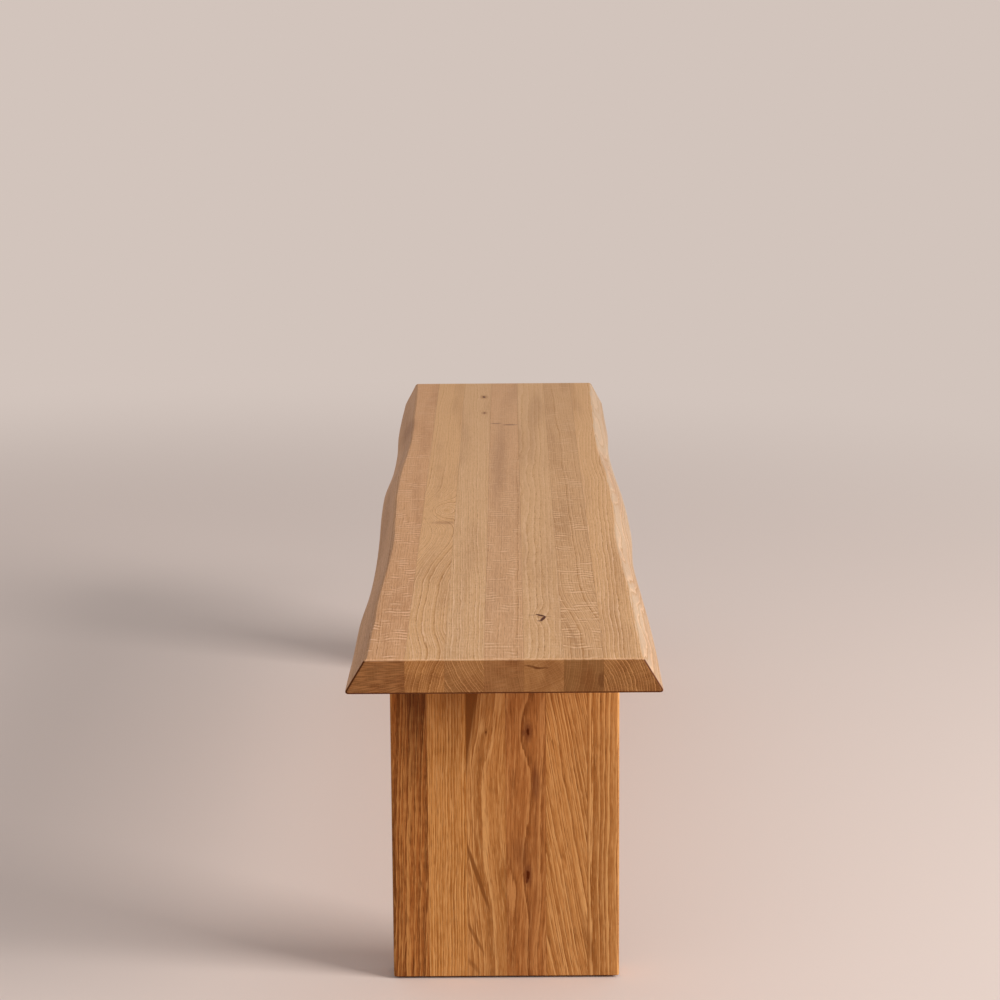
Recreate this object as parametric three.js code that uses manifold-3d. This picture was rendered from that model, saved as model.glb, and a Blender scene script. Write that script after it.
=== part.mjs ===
// A solid oak bench: a seat board of seven glued staves with live edges, carried by two upright leg boards.
// Lengths are in millimetres. The bench stands on Z = 0, its length lies along Y and its depth along X.
// The near end is at -Y. The pieces of one leg are modelled for the near end and mirrored for the far end.
import * as THREE from "three";
import { mergeVertices } from "three/addons/utils/BufferGeometryUtils.js";
import Module from "manifold-3d";

const wasm = await Module();
wasm.setup();

// Seat board
const seatLength = 1800;
const seatDepth = 353; // over the lower edges of both live edges, where the seat is deepest
const seatHeight = 450; // from the floor to the sitting surface
const seatThickness = 40;
const seatStaveWidth = 44;
const plainSeatStaves = 5;
const seatArris = 3; // rounding of the sawn ends and of the crest of a live edge
const wanePoint = 4; // rounding where a live edge meets the underside

// Leg boards
const legWidth = 270;
const legThickness = 40;
const legSetback = 200; // from the end of the seat to the outer face of the leg
const legArris = 3;

// Felt pads under the legs
const padDiameter = 28;
const padThickness = 2.5;
const padInset = 35; // from the side of the leg to the centre of the pad

// Angle brackets, bent from flat steel
const bracketWidth = 80;
const bracketReach = 60; // along the underside of the seat
const bracketDrop = 75; // down the inner face of the leg
const plateThickness = 5;
const bendRadius = 5; // inside the bend
const plateCorner = 6;
const holePlay = 1; // how much wider than the bolt a hole in the bracket is
const slotTravel = 12; // room for the seat board to swell and shrink
const seatBoltPlace = 36; // from the leg to the bolts that go up into the seat
const upperLegBoltPlace = 26; // from the underside of the seat down to the bolts that go into the leg
const lowerLegBoltPlace = 54;

// Bolts with a flanged button head and a hexagon socket
const boltDiameter = 8;
const boltLength = 20; // under the head
const boltTip = 1; // chamfer at the end of the thread
const flangeDiameter = 17.5;
const flangeThickness = 1.2;
const headDiameter = 13;
const headHeight = 4.4;
const socketSize = 5; // across the flats
const socketDepth = 2.6;

// Threaded inserts in the wood
const insertDiameter = 12;
const insertLength = 20;
const threadPlay = 0.3; // between bolt and insert, and between insert and wood
const boreRest = 1; // depth of a bore beyond its insert

// How finely curves are drawn
const roundSides = 16;
const filletSteps = 3;
const stepsPerStation = 3;
const hexagonSides = 6;
const cutOverrun = 1; // how far a cutting solid reaches past the face that it opens

// Outlines of the live edges, at even stations from the near end to the far end. The values are shares of
// half the seat depth: the foot of the wane on the underside, and its crest on the sitting surface.
const leftFootShares = [
  1, 0.99, 0.985, 0.955, 0.95, 0.96, 0.98, 0.985, 0.95, 0.945, 0.965, 0.965, 0.955,
];
const leftCrestShares = [
  0.875, 0.865, 0.86, 0.835, 0.825, 0.845, 0.86, 0.855, 0.825, 0.815, 0.825, 0.83, 0.845,
];
const rightFootShares = [
  1, 1, 0.99, 0.97, 0.955, 0.98, 0.98, 0.965, 0.935, 0.92, 0.94, 0.94, 0.94,
];
const rightCrestShares = [
  0.875, 0.87, 0.865, 0.845, 0.83, 0.85, 0.85, 0.835, 0.805, 0.8, 0.815, 0.82, 0.83,
];

// Glue lines of a leg board, from left to right, as shares of its width
const legSeamShares = [0, 0.159, 0.33, 0.503, 0.678, 0.86, 1];

// Places that follow from the sizes above
const undersideZ = seatHeight - seatThickness;
const legHeight = undersideZ - padThickness;
const legFaceY = legSetback - seatLength / 2; // outer face of the near leg
const innerFaceY = legFaceY + legThickness;
const plainSeatWidth = plainSeatStaves * seatStaveWidth;
const bracketX = 1.5 * seatStaveWidth; // over a glue line, so that both seat bolts meet the middle of a stave
const boltSpacing = seatStaveWidth;
const boreDiameter = insertDiameter + 2 * threadPlay;
const boreDepth = insertLength + boreRest;
const sides = { left: -1, right: 1 };

// Materials
const seatOak = new THREE.MeshStandardMaterial({ color: 0xc09870, roughness: 0.55, metalness: 0 });
const legOak = new THREE.MeshStandardMaterial({ color: 0xa9713f, roughness: 0.55, metalness: 0 });
const blackSteel = new THREE.MeshStandardMaterial({ color: 0x26272a, roughness: 0.5, metalness: 0.6 });
const brightZinc = new THREE.MeshStandardMaterial({ color: 0xb9bcc0, roughness: 0.35, metalness: 0.9 });
const yellowZinc = new THREE.MeshStandardMaterial({ color: 0xc9b98a, roughness: 0.4, metalness: 0.9 });
const greyFelt = new THREE.MeshStandardMaterial({ color: 0x6a655f, roughness: 0.95, metalness: 0 });

// Solids for cutting

function solidOf(geometry) {
  const bare = geometry.clone();
  bare.deleteAttribute("normal");
  bare.deleteAttribute("uv");
  const merged = mergeVertices(bare);
  const mesh = new wasm.Mesh({
    numProp: 3,
    vertProperties: merged.attributes.position.array,
    triVerts: new Uint32Array(merged.index.array),
  });
  return new wasm.Manifold(mesh);
}

function geometryOf(solid) {
  const mesh = solid.getMesh();
  const geometry = new THREE.BufferGeometry();
  geometry.setAttribute("position", new THREE.BufferAttribute(mesh.vertProperties, 3));
  geometry.setIndex(new THREE.BufferAttribute(mesh.triVerts, 1));
  return geometry;
}

function cut(geometry, cutters) {
  let solid = solidOf(geometry);
  for (const cutter of cutters) {
    solid = solid.subtract(solidOf(cutter));
  }
  return geometryOf(solid);
}

// The turn that lays a shape drawn in the XY plane into the YZ plane, with its extrusion along X
const layAcross = new THREE.Matrix4().makeBasis(
  new THREE.Vector3(0, 1, 0),
  new THREE.Vector3(0, 0, 1),
  new THREE.Vector3(1, 0, 0),
);

function extrude(shape, depth) {
  return new THREE.ExtrudeGeometry(shape, { depth, bevelEnabled: false, curveSegments: filletSteps });
}

// A rectangle from its lower left corner, with a radius for each corner, anticlockwise from that corner
function roundedRectangle(width, height, radii) {
  const [first, second, third, fourth] = radii;
  const shape = new THREE.Shape();
  shape.moveTo(first, 0);
  shape.lineTo(width - second, 0);
  if (second > 0) shape.absarc(width - second, second, second, -Math.PI / 2, 0, false);
  shape.lineTo(width, height - third);
  if (third > 0) shape.absarc(width - third, height - third, third, 0, Math.PI / 2, false);
  shape.lineTo(fourth, height);
  if (fourth > 0) shape.absarc(fourth, height - fourth, fourth, Math.PI / 2, Math.PI, false);
  shape.lineTo(0, first);
  if (first > 0) shape.absarc(first, first, first, Math.PI, 1.5 * Math.PI, false);
  return shape;
}

// Bores for the inserts

// An upright bore that opens in the underside of the seat
function seatBore(x, y) {
  const height = boreDepth + cutOverrun;
  const bore = new THREE.CylinderGeometry(boreDiameter / 2, boreDiameter / 2, height, roundSides);
  bore.rotateX(Math.PI / 2);
  bore.translate(x, y, undersideZ - cutOverrun + height / 2);
  return bore;
}

// A level bore that opens in the inner face of the near leg
function legBore(x, z) {
  const height = boreDepth + cutOverrun;
  const bore = new THREE.CylinderGeometry(boreDiameter / 2, boreDiameter / 2, height, roundSides);
  bore.translate(x, innerFaceY + cutOverrun - height / 2, z);
  return bore;
}

// Where the bolts stand

const seatBoltXs = Object.values(sides).flatMap((side) => [
  side * bracketX - boltSpacing / 2,
  side * bracketX + boltSpacing / 2,
]);
const seatBoltY = innerFaceY + seatBoltPlace; // at the near leg
const legBoltXs = Object.values(sides).map((side) => side * bracketX);
const legBoltZs = [undersideZ - upperLegBoltPlace, undersideZ - lowerLegBoltPlace];

// Seat staves

function plainSeatStave(index) {
  const left = index * seatStaveWidth - plainSeatWidth / 2;
  const right = left + seatStaveWidth;
  const radii = [seatArris, seatArris, seatArris, seatArris];
  const stave = extrude(roundedRectangle(seatLength, seatThickness, radii), seatStaveWidth);
  stave.applyMatrix4(layAcross);
  stave.translate(left, -seatLength / 2, undersideZ);
  const bores = seatBoltXs
    .filter((x) => x + boreDiameter / 2 > left && x - boreDiameter / 2 < right)
    .flatMap((x) => [seatBore(x, seatBoltY), seatBore(x, -seatBoltY)]);
  return cut(stave, bores);
}

// How far out one line of a live edge lies at each cross-section, from the near end to the far end
function liveEdgeDepths(shares) {
  const points = shares.map((share) => new THREE.Vector2((share * seatDepth) / 2, 0));
  const curve = new THREE.SplineCurve(points);
  return curve.getPoints((shares.length - 1) * stepsPerStation).map((point) => point.x);
}

// The cross-sections of a live-edge stave: how far along the seat each lies, and how far the rounding of the
// sawn end draws its outline in there.
function crossSections() {
  const last = (leftFootShares.length - 1) * stepsPerStation;
  const sections = [];
  for (let index = 0; index <= last; index += 1) {
    sections.push({ along: (index / last) * seatLength, drawnIn: 0, index });
  }
  sections.shift();
  sections.pop();
  for (let step = 0; step <= filletSteps; step += 1) {
    const angle = (step / filletSteps) * (Math.PI / 2);
    const inset = seatArris * (1 - Math.sin(angle));
    const drawnIn = seatArris * (1 - Math.cos(angle));
    sections.push({ along: inset, drawnIn, index: 0 });
    sections.push({ along: seatLength - inset, drawnIn, index: last });
  }
  return sections.sort((a, b) => a.along - b.along);
}

// The outline of a live-edge stave across the bench, anticlockwise for the right side as seen from the near
// end. The crest is rounded between the sitting surface and the sloping wane, and so is the foot above the
// underside.
function liveEdgeOutline(foot, crest, drawnIn) {
  const seam = plainSeatWidth / 2;
  const top = seatHeight - drawnIn;
  const bottom = undersideZ + drawnIn;
  const slope = new THREE.Vector2(foot - crest, -seatThickness + wanePoint).normalize();
  return [
    [seam, bottom],
    [foot - drawnIn - wanePoint, bottom],
    [foot - drawnIn - wanePoint / 4, bottom + wanePoint / 3],
    [foot - drawnIn, bottom + wanePoint],
    [crest - drawnIn + slope.x * seatArris, top + slope.y * seatArris],
    [crest - drawnIn - seatArris / 3, top - seatArris / 5],
    [crest - drawnIn - seatArris, top],
    [seam, top],
  ];
}

function liveEdgeStave(side, footShares, crestShares) {
  const feet = liveEdgeDepths(footShares);
  const crests = liveEdgeDepths(crestShares);
  const sections = crossSections();
  const outlines = sections.map(({ index, drawnIn }) => liveEdgeOutline(feet[index], crests[index], drawnIn));
  const corners = outlines[0].length;
  const positions = sections.flatMap(({ along }, place) =>
    outlines[place].flatMap(([x, z]) => [side * x, along - seatLength / 2, z]),
  );
  const triangles = [];
  for (let place = 0; place < sections.length - 1; place += 1) {
    for (let corner = 0; corner < corners; corner += 1) {
      const here = place * corners + corner;
      const beside = place * corners + ((corner + 1) % corners);
      triangles.push([here, here + corners, beside]);
      triangles.push([beside, here + corners, beside + corners]);
    }
  }
  const farCap = (sections.length - 1) * corners;
  for (let corner = 1; corner < corners - 1; corner += 1) {
    triangles.push([0, corner, corner + 1]);
    triangles.push([farCap, farCap + corner + 1, farCap + corner]);
  }
  const facingOut = side > 0 ? triangles : triangles.map(([a, b, c]) => [a, c, b]);
  const geometry = new THREE.BufferGeometry();
  geometry.setAttribute("position", new THREE.Float32BufferAttribute(positions, 3));
  geometry.setIndex(facingOut.flat());
  return geometry;
}

// Leg staves, upright, for the near leg

function legStave(index) {
  const left = (legSeamShares[index] - 1 / 2) * legWidth;
  const right = (legSeamShares[index + 1] - 1 / 2) * legWidth;
  const leftArris = index === 0 ? legArris : 0;
  const rightArris = index === legSeamShares.length - 2 ? legArris : 0;
  const radii = [leftArris, rightArris, rightArris, leftArris];
  const stave = extrude(roundedRectangle(right - left, legThickness, radii), legHeight);
  stave.translate(left, legFaceY, padThickness);
  const bores = legBoltXs
    .filter((x) => x + boreDiameter / 2 > left && x - boreDiameter / 2 < right)
    .flatMap((x) => legBoltZs.map((z) => legBore(x, z)));
  return cut(stave, bores);
}

// Angle bracket: an L of flat steel, drawn along Y and Z from the corner between leg and seat

function bracket(centreX) {
  const outerBend = bendRadius + plateThickness;
  const profile = new THREE.Shape();
  profile.moveTo(0, -bracketDrop);
  profile.lineTo(plateThickness, -bracketDrop);
  profile.lineTo(plateThickness, -outerBend);
  profile.absarc(outerBend, -outerBend, bendRadius, Math.PI, Math.PI / 2, true);
  profile.lineTo(bracketReach, -plateThickness);
  profile.lineTo(bracketReach, 0);
  profile.lineTo(outerBend, 0);
  profile.absarc(outerBend, -outerBend, outerBend, Math.PI / 2, Math.PI, false);
  const plate = extrude(profile, bracketWidth);
  plate.applyMatrix4(layAcross);
  plate.translate(centreX - bracketWidth / 2, innerFaceY, undersideZ);
  const slots = [-1, 1].map((hand) => seatSlot(centreX + (hand * boltSpacing) / 2));
  const holes = legBoltZs.map((z) => legHole(centreX, z));
  const corners = plateCorners(centreX);
  return cut(plate, [...slots, ...holes, ...corners]);
}

// A slot in the seat flange, long across the bench
function seatSlot(x) {
  const width = boltDiameter + holePlay;
  const length = width + slotTravel;
  const radius = width / 2;
  const shape = roundedRectangle(length, width, [radius, radius, radius, radius]);
  const slot = extrude(shape, plateThickness + 2 * cutOverrun);
  slot.translate(x - length / 2, seatBoltY - width / 2, undersideZ - plateThickness - cutOverrun);
  return slot;
}

// A round hole in the leg flange
function legHole(x, z) {
  const radius = (boltDiameter + holePlay) / 2;
  const height = plateThickness + 2 * cutOverrun;
  const hole = new THREE.CylinderGeometry(radius, radius, height, roundSides);
  hole.translate(x, innerFaceY + plateThickness / 2, z);
  return hole;
}

// What is cut away to leave each free corner of the two flanges round
function cornerCutter(depth) {
  const shape = new THREE.Shape();
  shape.moveTo(plateCorner, 0);
  shape.lineTo(plateCorner + cutOverrun, 0);
  shape.lineTo(plateCorner + cutOverrun, plateCorner + cutOverrun);
  shape.lineTo(0, plateCorner + cutOverrun);
  shape.lineTo(0, plateCorner);
  shape.absarc(0, 0, plateCorner, Math.PI / 2, 0, true);
  return extrude(shape, depth);
}

function plateCorners(centreX) {
  const cutDepth = plateThickness + 2 * cutOverrun;
  const inFromSide = bracketWidth / 2 - plateCorner;
  const cutters = [];
  for (const hand of [-1, 1]) {
    const turn = hand > 0 ? 0 : Math.PI / 2;
    const onSeat = cornerCutter(cutDepth).rotateZ(turn);
    onSeat.translate(
      centreX + hand * inFromSide,
      innerFaceY + bracketReach - plateCorner,
      undersideZ - plateThickness - cutOverrun,
    );
    const onLeg = cornerCutter(cutDepth).rotateZ(turn).rotateX(-Math.PI / 2);
    onLeg.translate(
      centreX + hand * inFromSide,
      innerFaceY - cutOverrun,
      undersideZ - bracketDrop + plateCorner,
    );
    cutters.push(onSeat, onLeg);
  }
  return cutters;
}

// Bolt, standing on its head's bearing face: the thread points up from Z = 0 and the head hangs below

function bolt() {
  const flange = flangeDiameter / 2;
  const dome = headDiameter / 2;
  const thread = boltDiameter / 2;
  const profile = [
    [0, -headHeight],
    [dome - headHeight + flangeThickness, -headHeight],
    [dome - flangeThickness / 2, (-headHeight - flangeThickness) / 2],
    [dome, -flangeThickness],
    [flange, -flangeThickness],
    [flange, 0],
    [thread, 0],
    [thread, boltLength - boltTip],
    [thread - boltTip, boltLength],
    [0, boltLength],
  ].map(([radius, height]) => new THREE.Vector2(radius, height));
  const body = new THREE.LatheGeometry(profile, roundSides);
  const height = socketDepth + cutOverrun;
  const across = socketSize / Math.sqrt(3); // corner radius of the hexagon
  const socket = new THREE.CylinderGeometry(across, across, height, hexagonSides);
  socket.translate(0, socketDepth - headHeight - height / 2, 0);
  return cut(body, [socket]).rotateX(Math.PI / 2);
}

// Threaded insert: a sleeve whose mouth is at Z = 0 and which reaches up into the wood

function insert() {
  const outer = insertDiameter / 2;
  const inner = boltDiameter / 2 + threadPlay;
  const profile = [
    [inner, 0],
    [outer, 0],
    [outer, insertLength],
    [inner, insertLength],
    [inner, 0],
  ].map(([radius, height]) => new THREE.Vector2(radius, height));
  return new THREE.LatheGeometry(profile, roundSides).rotateX(Math.PI / 2);
}

// Felt pad, standing on the floor

function pad() {
  const disc = new THREE.CylinderGeometry(padDiameter / 2, padDiameter / 2, padThickness, roundSides);
  disc.rotateX(Math.PI / 2);
  disc.translate(0, 0, padThickness / 2);
  return disc;
}

// Assembly

function named(name, geometry, material) {
  const mesh = new THREE.Mesh(geometry, material);
  mesh.name = name;
  return mesh;
}

function seatBoard() {
  const board = new THREE.Group();
  const leftStave = liveEdgeStave(sides.left, leftFootShares, leftCrestShares);
  board.add(named("seat_stave_1_live_edge", leftStave, seatOak));
  for (let index = 0; index < plainSeatStaves; index += 1) {
    board.add(named(`seat_stave_${index + 2}`, plainSeatStave(index), seatOak));
  }
  const rightStave = liveEdgeStave(sides.right, rightFootShares, rightCrestShares);
  board.add(named(`seat_stave_${plainSeatStaves + 2}_live_edge`, rightStave, seatOak));
  return board;
}

// A bolt and its insert that go up into the seat
function seatFixing(name, x) {
  const fixing = new THREE.Group();
  const screw = named(`${name}_bolt`, bolt(), brightZinc);
  screw.position.set(x, seatBoltY, undersideZ - plateThickness);
  const sleeve = named(`${name}_insert`, insert(), yellowZinc);
  sleeve.position.set(x, seatBoltY, undersideZ);
  fixing.add(screw, sleeve);
  return fixing;
}

// A bolt and its insert that go level into the near leg, towards -Y
function legFixing(name, x, z) {
  const fixing = new THREE.Group();
  const screw = named(`${name}_bolt`, bolt().rotateX(Math.PI / 2), brightZinc);
  screw.position.set(x, innerFaceY + plateThickness, z);
  const sleeve = named(`${name}_insert`, insert().rotateX(Math.PI / 2), yellowZinc);
  sleeve.position.set(x, innerFaceY, z);
  fixing.add(screw, sleeve);
  return fixing;
}

// One leg board with its brackets, bolts, inserts and pads
function leg(end) {
  const assembly = new THREE.Group();
  for (let index = 0; index < legSeamShares.length - 1; index += 1) {
    assembly.add(named(`${end}_leg_stave_${index + 1}`, legStave(index), legOak));
  }
  for (const [sideName, side] of Object.entries(sides)) {
    const name = `${end}_${sideName}`;
    const x = side * bracketX;
    assembly.add(named(`${name}_bracket`, bracket(x), blackSteel));
    assembly.add(seatFixing(`${name}_seat_outer`, x + (side * boltSpacing) / 2));
    assembly.add(seatFixing(`${name}_seat_inner`, x - (side * boltSpacing) / 2));
    assembly.add(legFixing(`${name}_leg_upper`, x, undersideZ - upperLegBoltPlace));
    assembly.add(legFixing(`${name}_leg_lower`, x, undersideZ - lowerLegBoltPlace));
    const foot = named(`${name}_pad`, pad(), greyFelt);
    foot.position.set(side * (legWidth / 2 - padInset), legFaceY + legThickness / 2, 0);
    assembly.add(foot);
  }
  return assembly;
}

const bench = new THREE.Group();
const nearLeg = leg("near");
const farLeg = leg("far");
farLeg.scale.y = -1;
bench.add(seatBoard(), nearLeg, farLeg);

export default bench;
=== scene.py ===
from math import pi, radians, sqrt

import bmesh
import bpy
from mathutils import Matrix, Vector


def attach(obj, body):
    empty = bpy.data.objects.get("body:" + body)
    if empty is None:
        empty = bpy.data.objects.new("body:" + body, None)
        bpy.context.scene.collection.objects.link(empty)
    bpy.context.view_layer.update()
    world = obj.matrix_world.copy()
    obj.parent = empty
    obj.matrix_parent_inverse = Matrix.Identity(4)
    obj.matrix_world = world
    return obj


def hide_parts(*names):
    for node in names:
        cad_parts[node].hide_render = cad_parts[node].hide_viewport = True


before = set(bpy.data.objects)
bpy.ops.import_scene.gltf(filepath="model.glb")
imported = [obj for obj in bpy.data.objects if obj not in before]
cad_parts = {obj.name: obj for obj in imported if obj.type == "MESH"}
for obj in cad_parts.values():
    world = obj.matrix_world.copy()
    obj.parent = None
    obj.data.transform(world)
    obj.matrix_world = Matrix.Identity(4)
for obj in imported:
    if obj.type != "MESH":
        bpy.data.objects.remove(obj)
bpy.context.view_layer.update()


# Camera
# The viewpoint: end-on to the bench, about 3 m in front of it and a little to the right of its middle, at
# chest height and looking down. The bench stands on Z = 0, its length lies along Y and its near end is at
# -Y, all in metres.
camera_place = Vector((0.0064, -4.0360, 1.2945))
camera_pitch = radians(11.982)
camera_yaw = radians(-0.175)
camera_roll = radians(-0.404)
camera_lens = 105.99
camera_sensor = 36.0

bpy.ops.object.camera_add(location=camera_place)
camera = bpy.context.object
camera.name = "viewpoint"
camera.data.sensor_width = camera_sensor
camera.data.lens = camera_lens
aim = Matrix.Rotation(-camera_yaw, 4, "Z") @ Matrix.Rotation(pi / 2 - camera_pitch, 4, "X")
camera.rotation_euler = (aim @ Matrix.Rotation(camera_roll, 4, "Z")).to_euler()
bpy.context.scene.camera = camera


# Plain seat staves
# Seat staves 2 to 6: solid oak, planed on four sides, glued edge to edge and sanded flush. Only the
# sawn ends have rounded edges. Staves 2, 3, 5 and 6 are bored from below for the threaded inserts.
near_end, far_end = -0.900, 0.900
underside, sitting_height = 0.410, 0.450
stave_width = 0.044
seat_arris = 0.003
arris_segments = 5
outer_column, inner_column = 0.088, 0.044
seat_bolt_row = 0.624
bore_radius = 0.0063
bore_depth = 0.021
bore_sides = 48

# Edges that turn by more degrees than this stay sharp, and points closer than touch are in one place
sharp_angle = 40
touch = 0.00001


def take(piece):
    """Selects this piece alone and makes it the active one."""
    bpy.ops.object.select_all(action="DESELECT")
    piece.select_set(True)
    bpy.context.view_layer.objects.active = piece


def pick(piece, kind, test):
    """Opens the piece in edit mode and selects the faces, edges or corners whose corners pass the test."""
    take(piece)
    bpy.ops.object.mode_set(mode="EDIT")
    bpy.ops.mesh.select_mode(type=kind)
    bpy.ops.mesh.select_all(action="DESELECT")
    shape = bmesh.from_edit_mesh(piece.data)
    parts = {"VERT": shape.verts, "EDGE": shape.edges, "FACE": shape.faces}[kind]
    for part in parts:
        corners = [part.co] if kind == "VERT" else [corner.co for corner in part.verts]
        part.select_set(test(corners))
    bmesh.update_edit_mesh(piece.data)


def done():
    """Leaves edit mode."""
    bpy.ops.object.mode_set(mode="OBJECT")


def at(corners, axis, place):
    """True where all of the corners lie at one place on an axis."""
    return all(abs(corner[axis] - place) < touch for corner in corners)


def at_end(corners):
    """True where all of the corners lie on one of the seat's sawn ends."""
    return at(corners, 1, near_end) or at(corners, 1, far_end)


def rises(line):
    """How far the two ends of an edge are apart in height."""
    return abs(line[0].z - line[1].z)


def runs(line):
    """How far the two ends of an edge are apart along the bench."""
    return abs(line[0].y - line[1].y)


def blank(name, low, high):
    """A squared-up block between two corners, with its place in its mesh."""
    low, high = Vector(low), Vector(high)
    bpy.ops.object.select_all(action="DESELECT")
    bpy.ops.mesh.primitive_cube_add(size=1, location=(low + high) / 2, scale=high - low)
    piece = bpy.context.object
    piece.name = piece.data.name = name
    bpy.ops.object.transform_apply(location=True, rotation=True, scale=True)
    return piece


def rod(name, radius, start, end, sides):
    """A round bar between two points, with its place in its mesh."""
    start, end = Vector(start), Vector(end)
    bpy.ops.object.select_all(action="DESELECT")
    bpy.ops.mesh.primitive_cylinder_add(
        vertices=sides,
        radius=radius,
        depth=(end - start).length,
        location=(start + end) / 2,
        rotation=(end - start).to_track_quat("Z", "Y").to_euler(),
    )
    piece = bpy.context.object
    piece.name = piece.data.name = name
    bpy.ops.object.transform_apply(location=True, rotation=True, scale=True)
    return piece


def cut_away(piece, cutter):
    """Takes the cutter's shape out of the piece."""
    hole = piece.modifiers.new("hole", "BOOLEAN")
    hole.operation = "DIFFERENCE"
    hole.solver = "EXACT"
    hole.object = cutter
    take(piece)
    bpy.ops.object.modifier_apply(modifier=hole.name)
    bpy.data.objects.remove(cutter)


def drill(piece, mouth, direction):
    """Drills a flat-bottomed bore for an insert, from its mouth in the given direction."""
    mouth, direction = Vector(mouth), Vector(direction)
    start, end = mouth - direction * bore_radius, mouth + direction * bore_depth
    cut_away(piece, rod("bit", bore_radius, start, end, bore_sides))


def smooth(piece, angle=sharp_angle):
    """Shades round edges smooth and keeps the broad faces flat."""
    take(piece)
    bpy.ops.object.shade_smooth_by_angle(angle=radians(angle))
    fair = piece.modifiers.new("fair", "WEIGHTED_NORMAL")
    fair.keep_sharp = True
    fair.weight = 100
    bpy.ops.object.modifier_apply(modifier=fair.name)


def paint(code):
    """A colour written as six hexadecimal digits, as the shader wants it."""
    parts = [int(code[place : place + 2], 16) / 255 for place in (0, 2, 4)]
    linear = [part / 12.92 if part <= 0.04045 else ((part + 0.055) / 1.055) ** 2.4 for part in parts]
    return (*linear, 1.0)


def new_material(name):
    """A new material, its nodes and its shader."""
    material = bpy.data.materials.new(name)
    material.use_nodes = True
    tree = material.node_tree
    return material, tree, tree.nodes["Principled BSDF"]


def add(tree, kind, *inputs, **settings):
    """Adds a shader node, sets it, fills its inputs in order and gives its first output."""
    made = tree.nodes.new("ShaderNode" + kind)
    for key, value in settings.items():
        setattr(made, key, value)
    for socket, given in zip([socket for socket in made.inputs if socket.enabled], inputs):
        if isinstance(given, bpy.types.NodeSocket):
            tree.links.new(given, socket)
        elif given is not None:
            socket.default_value = given
    return next(socket for socket in made.outputs if socket.enabled)


def axes(tree, place):
    """The three coordinates of a place, each on its own."""
    parts = tree.nodes.new("ShaderNodeSeparateXYZ")
    tree.links.new(place, parts.inputs[0])
    return parts.outputs


def calc(tree, operation, *values):
    """Arithmetic on numbers."""
    return add(tree, "Math", *values, operation=operation)


def times(tree, first, second):
    """One number times another."""
    return calc(tree, "MULTIPLY", first, second)


def vector(tree, operation, *values):
    """Arithmetic on places and directions."""
    return add(tree, "VectorMath", *values, operation=operation)


def step(tree, value, low, high, bottom=0.0, top=1.0):
    """Goes smoothly from bottom to top while the value goes from low to high."""
    return add(tree, "MapRange", value, low, high, bottom, top, interpolation_type="SMOOTHSTEP")


def mix(tree, share, under, over, how="MIX"):
    """Lays one colour over another."""
    return add(tree, "Mix", share, under, over, data_type="RGBA", blend_type=how)


def noise(tree, place, detail=2.0, rough=0.5):
    """Cloudy noise about the size of one unit."""
    return add(tree, "TexNoise", place, 1.0, detail, rough)


def stretch(tree, place, cells):
    """Scales a place to so many cells a metre across the grain and along it."""
    across, along = cells
    return vector(tree, "MULTIPLY", place, (across, along, across))


def pattern(tree, place, cells, detail=2.0, rough=0.5):
    """Cloudy noise with so many cells a metre across the grain and along it."""
    return noise(tree, stretch(tree, place, cells), detail, rough)


# Oak finished with oil: summer wood, spring wood, the pale line where a year's growth ends, and the
# darker brown that runs through some boards. The seat's tones, straw to plum, are painted paler and
# greyer than the legs' tones of the same oak: a painted sheen, the pale reflection its top shows.
tones = {
    "straw": ("d5a678", "ae7a40", "f0c6a0", "a87850"),
    "honey": ("d8a674", "ab753b", "eec29c", "a5744b"),
    "tan": ("ce9e70", "a7713a", "eabe96", "9c6c42"),
    "rose": ("d29d70", "a8703a", "eebe98", "a06a42"),
    "plum": ("d09e73", "a2703e", "ebbf98", "96694a"),
    "amber": ("c08349", "8c4f1d", "dca468", "7f4a20"),
    "cider": ("c88848", "92541e", "e1a86b", "834e24"),
    "russet": ("aa6b38", "763e16", "cb8e55", "69361c"),
    "umber": ("a6632f", "673614", "cb8e50", "552c16"),
}
oak_dark = paint("501e02")
oak_pore = paint("4e2a10")
oak_sapwood = paint("bca186")
oak_soaked = paint("6e3a18")
end_tint = (1.03, 0.81, 0.57)
oiled_tint = (1.0, 0.82, 0.62)

# How fine each pattern in the wood is, in cells a metre across the grain and along it
fibre_cells = (420, 7)
short_fibre_cells = (850, 42)
pore_cells = (1500, 75)
ruffle_cells = (150, 6)
fray_cells = (500, 40)
brown_cells = (26, 1.8)
sway_cells = (8, 4)
waver_cells = (40, 12)
crumb_cells = (260, 260)
soak_cells = (30, 30)

# Years get wider and narrower in so many waves a metre. Grain whose wild is 1 wanders within this width
ring_width_cells = 70.0
most_sway = 0.016

# Rays: the spacing of their ripples, and how fine their groups are round the heart, along the grain
# and outwards, or on a sawn end round the heart and outwards
ray_spacing = 0.0125
ray_groups = (60.0, 30.0, 45.0)
end_ray_groups = (130.0, 50.0)

# A face starts to count as the natural edge at the first of these leans, and does fully at the second
edge_lean = (0.25, 0.55)

# A knot's swirl and its slit are this many times as long as wide, and an endless spot goes right through
swirl_stretch = 3.2
slit_stretch = 2.8
endless = 1000.0

# A glue line is darkest up to the first of these distances from the seam, and ends at the second
glue_line = (0.0001, 0.0006)


def around(tree, here, upright, across, along, wide, long, turn=0.0):
    """Distance from a place on the board's face, in shares of a spot so wide and so long."""
    place, size, angles = (across, along, 0), (wide, long, endless), (0, 0, radians(turn))
    if upright:
        place, size, angles = (across, 0, along), (wide, endless, long), (0, radians(turn), 0)
    return add(tree, "Mapping", here, place, angles, size, vector_type="TEXTURE")


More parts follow.
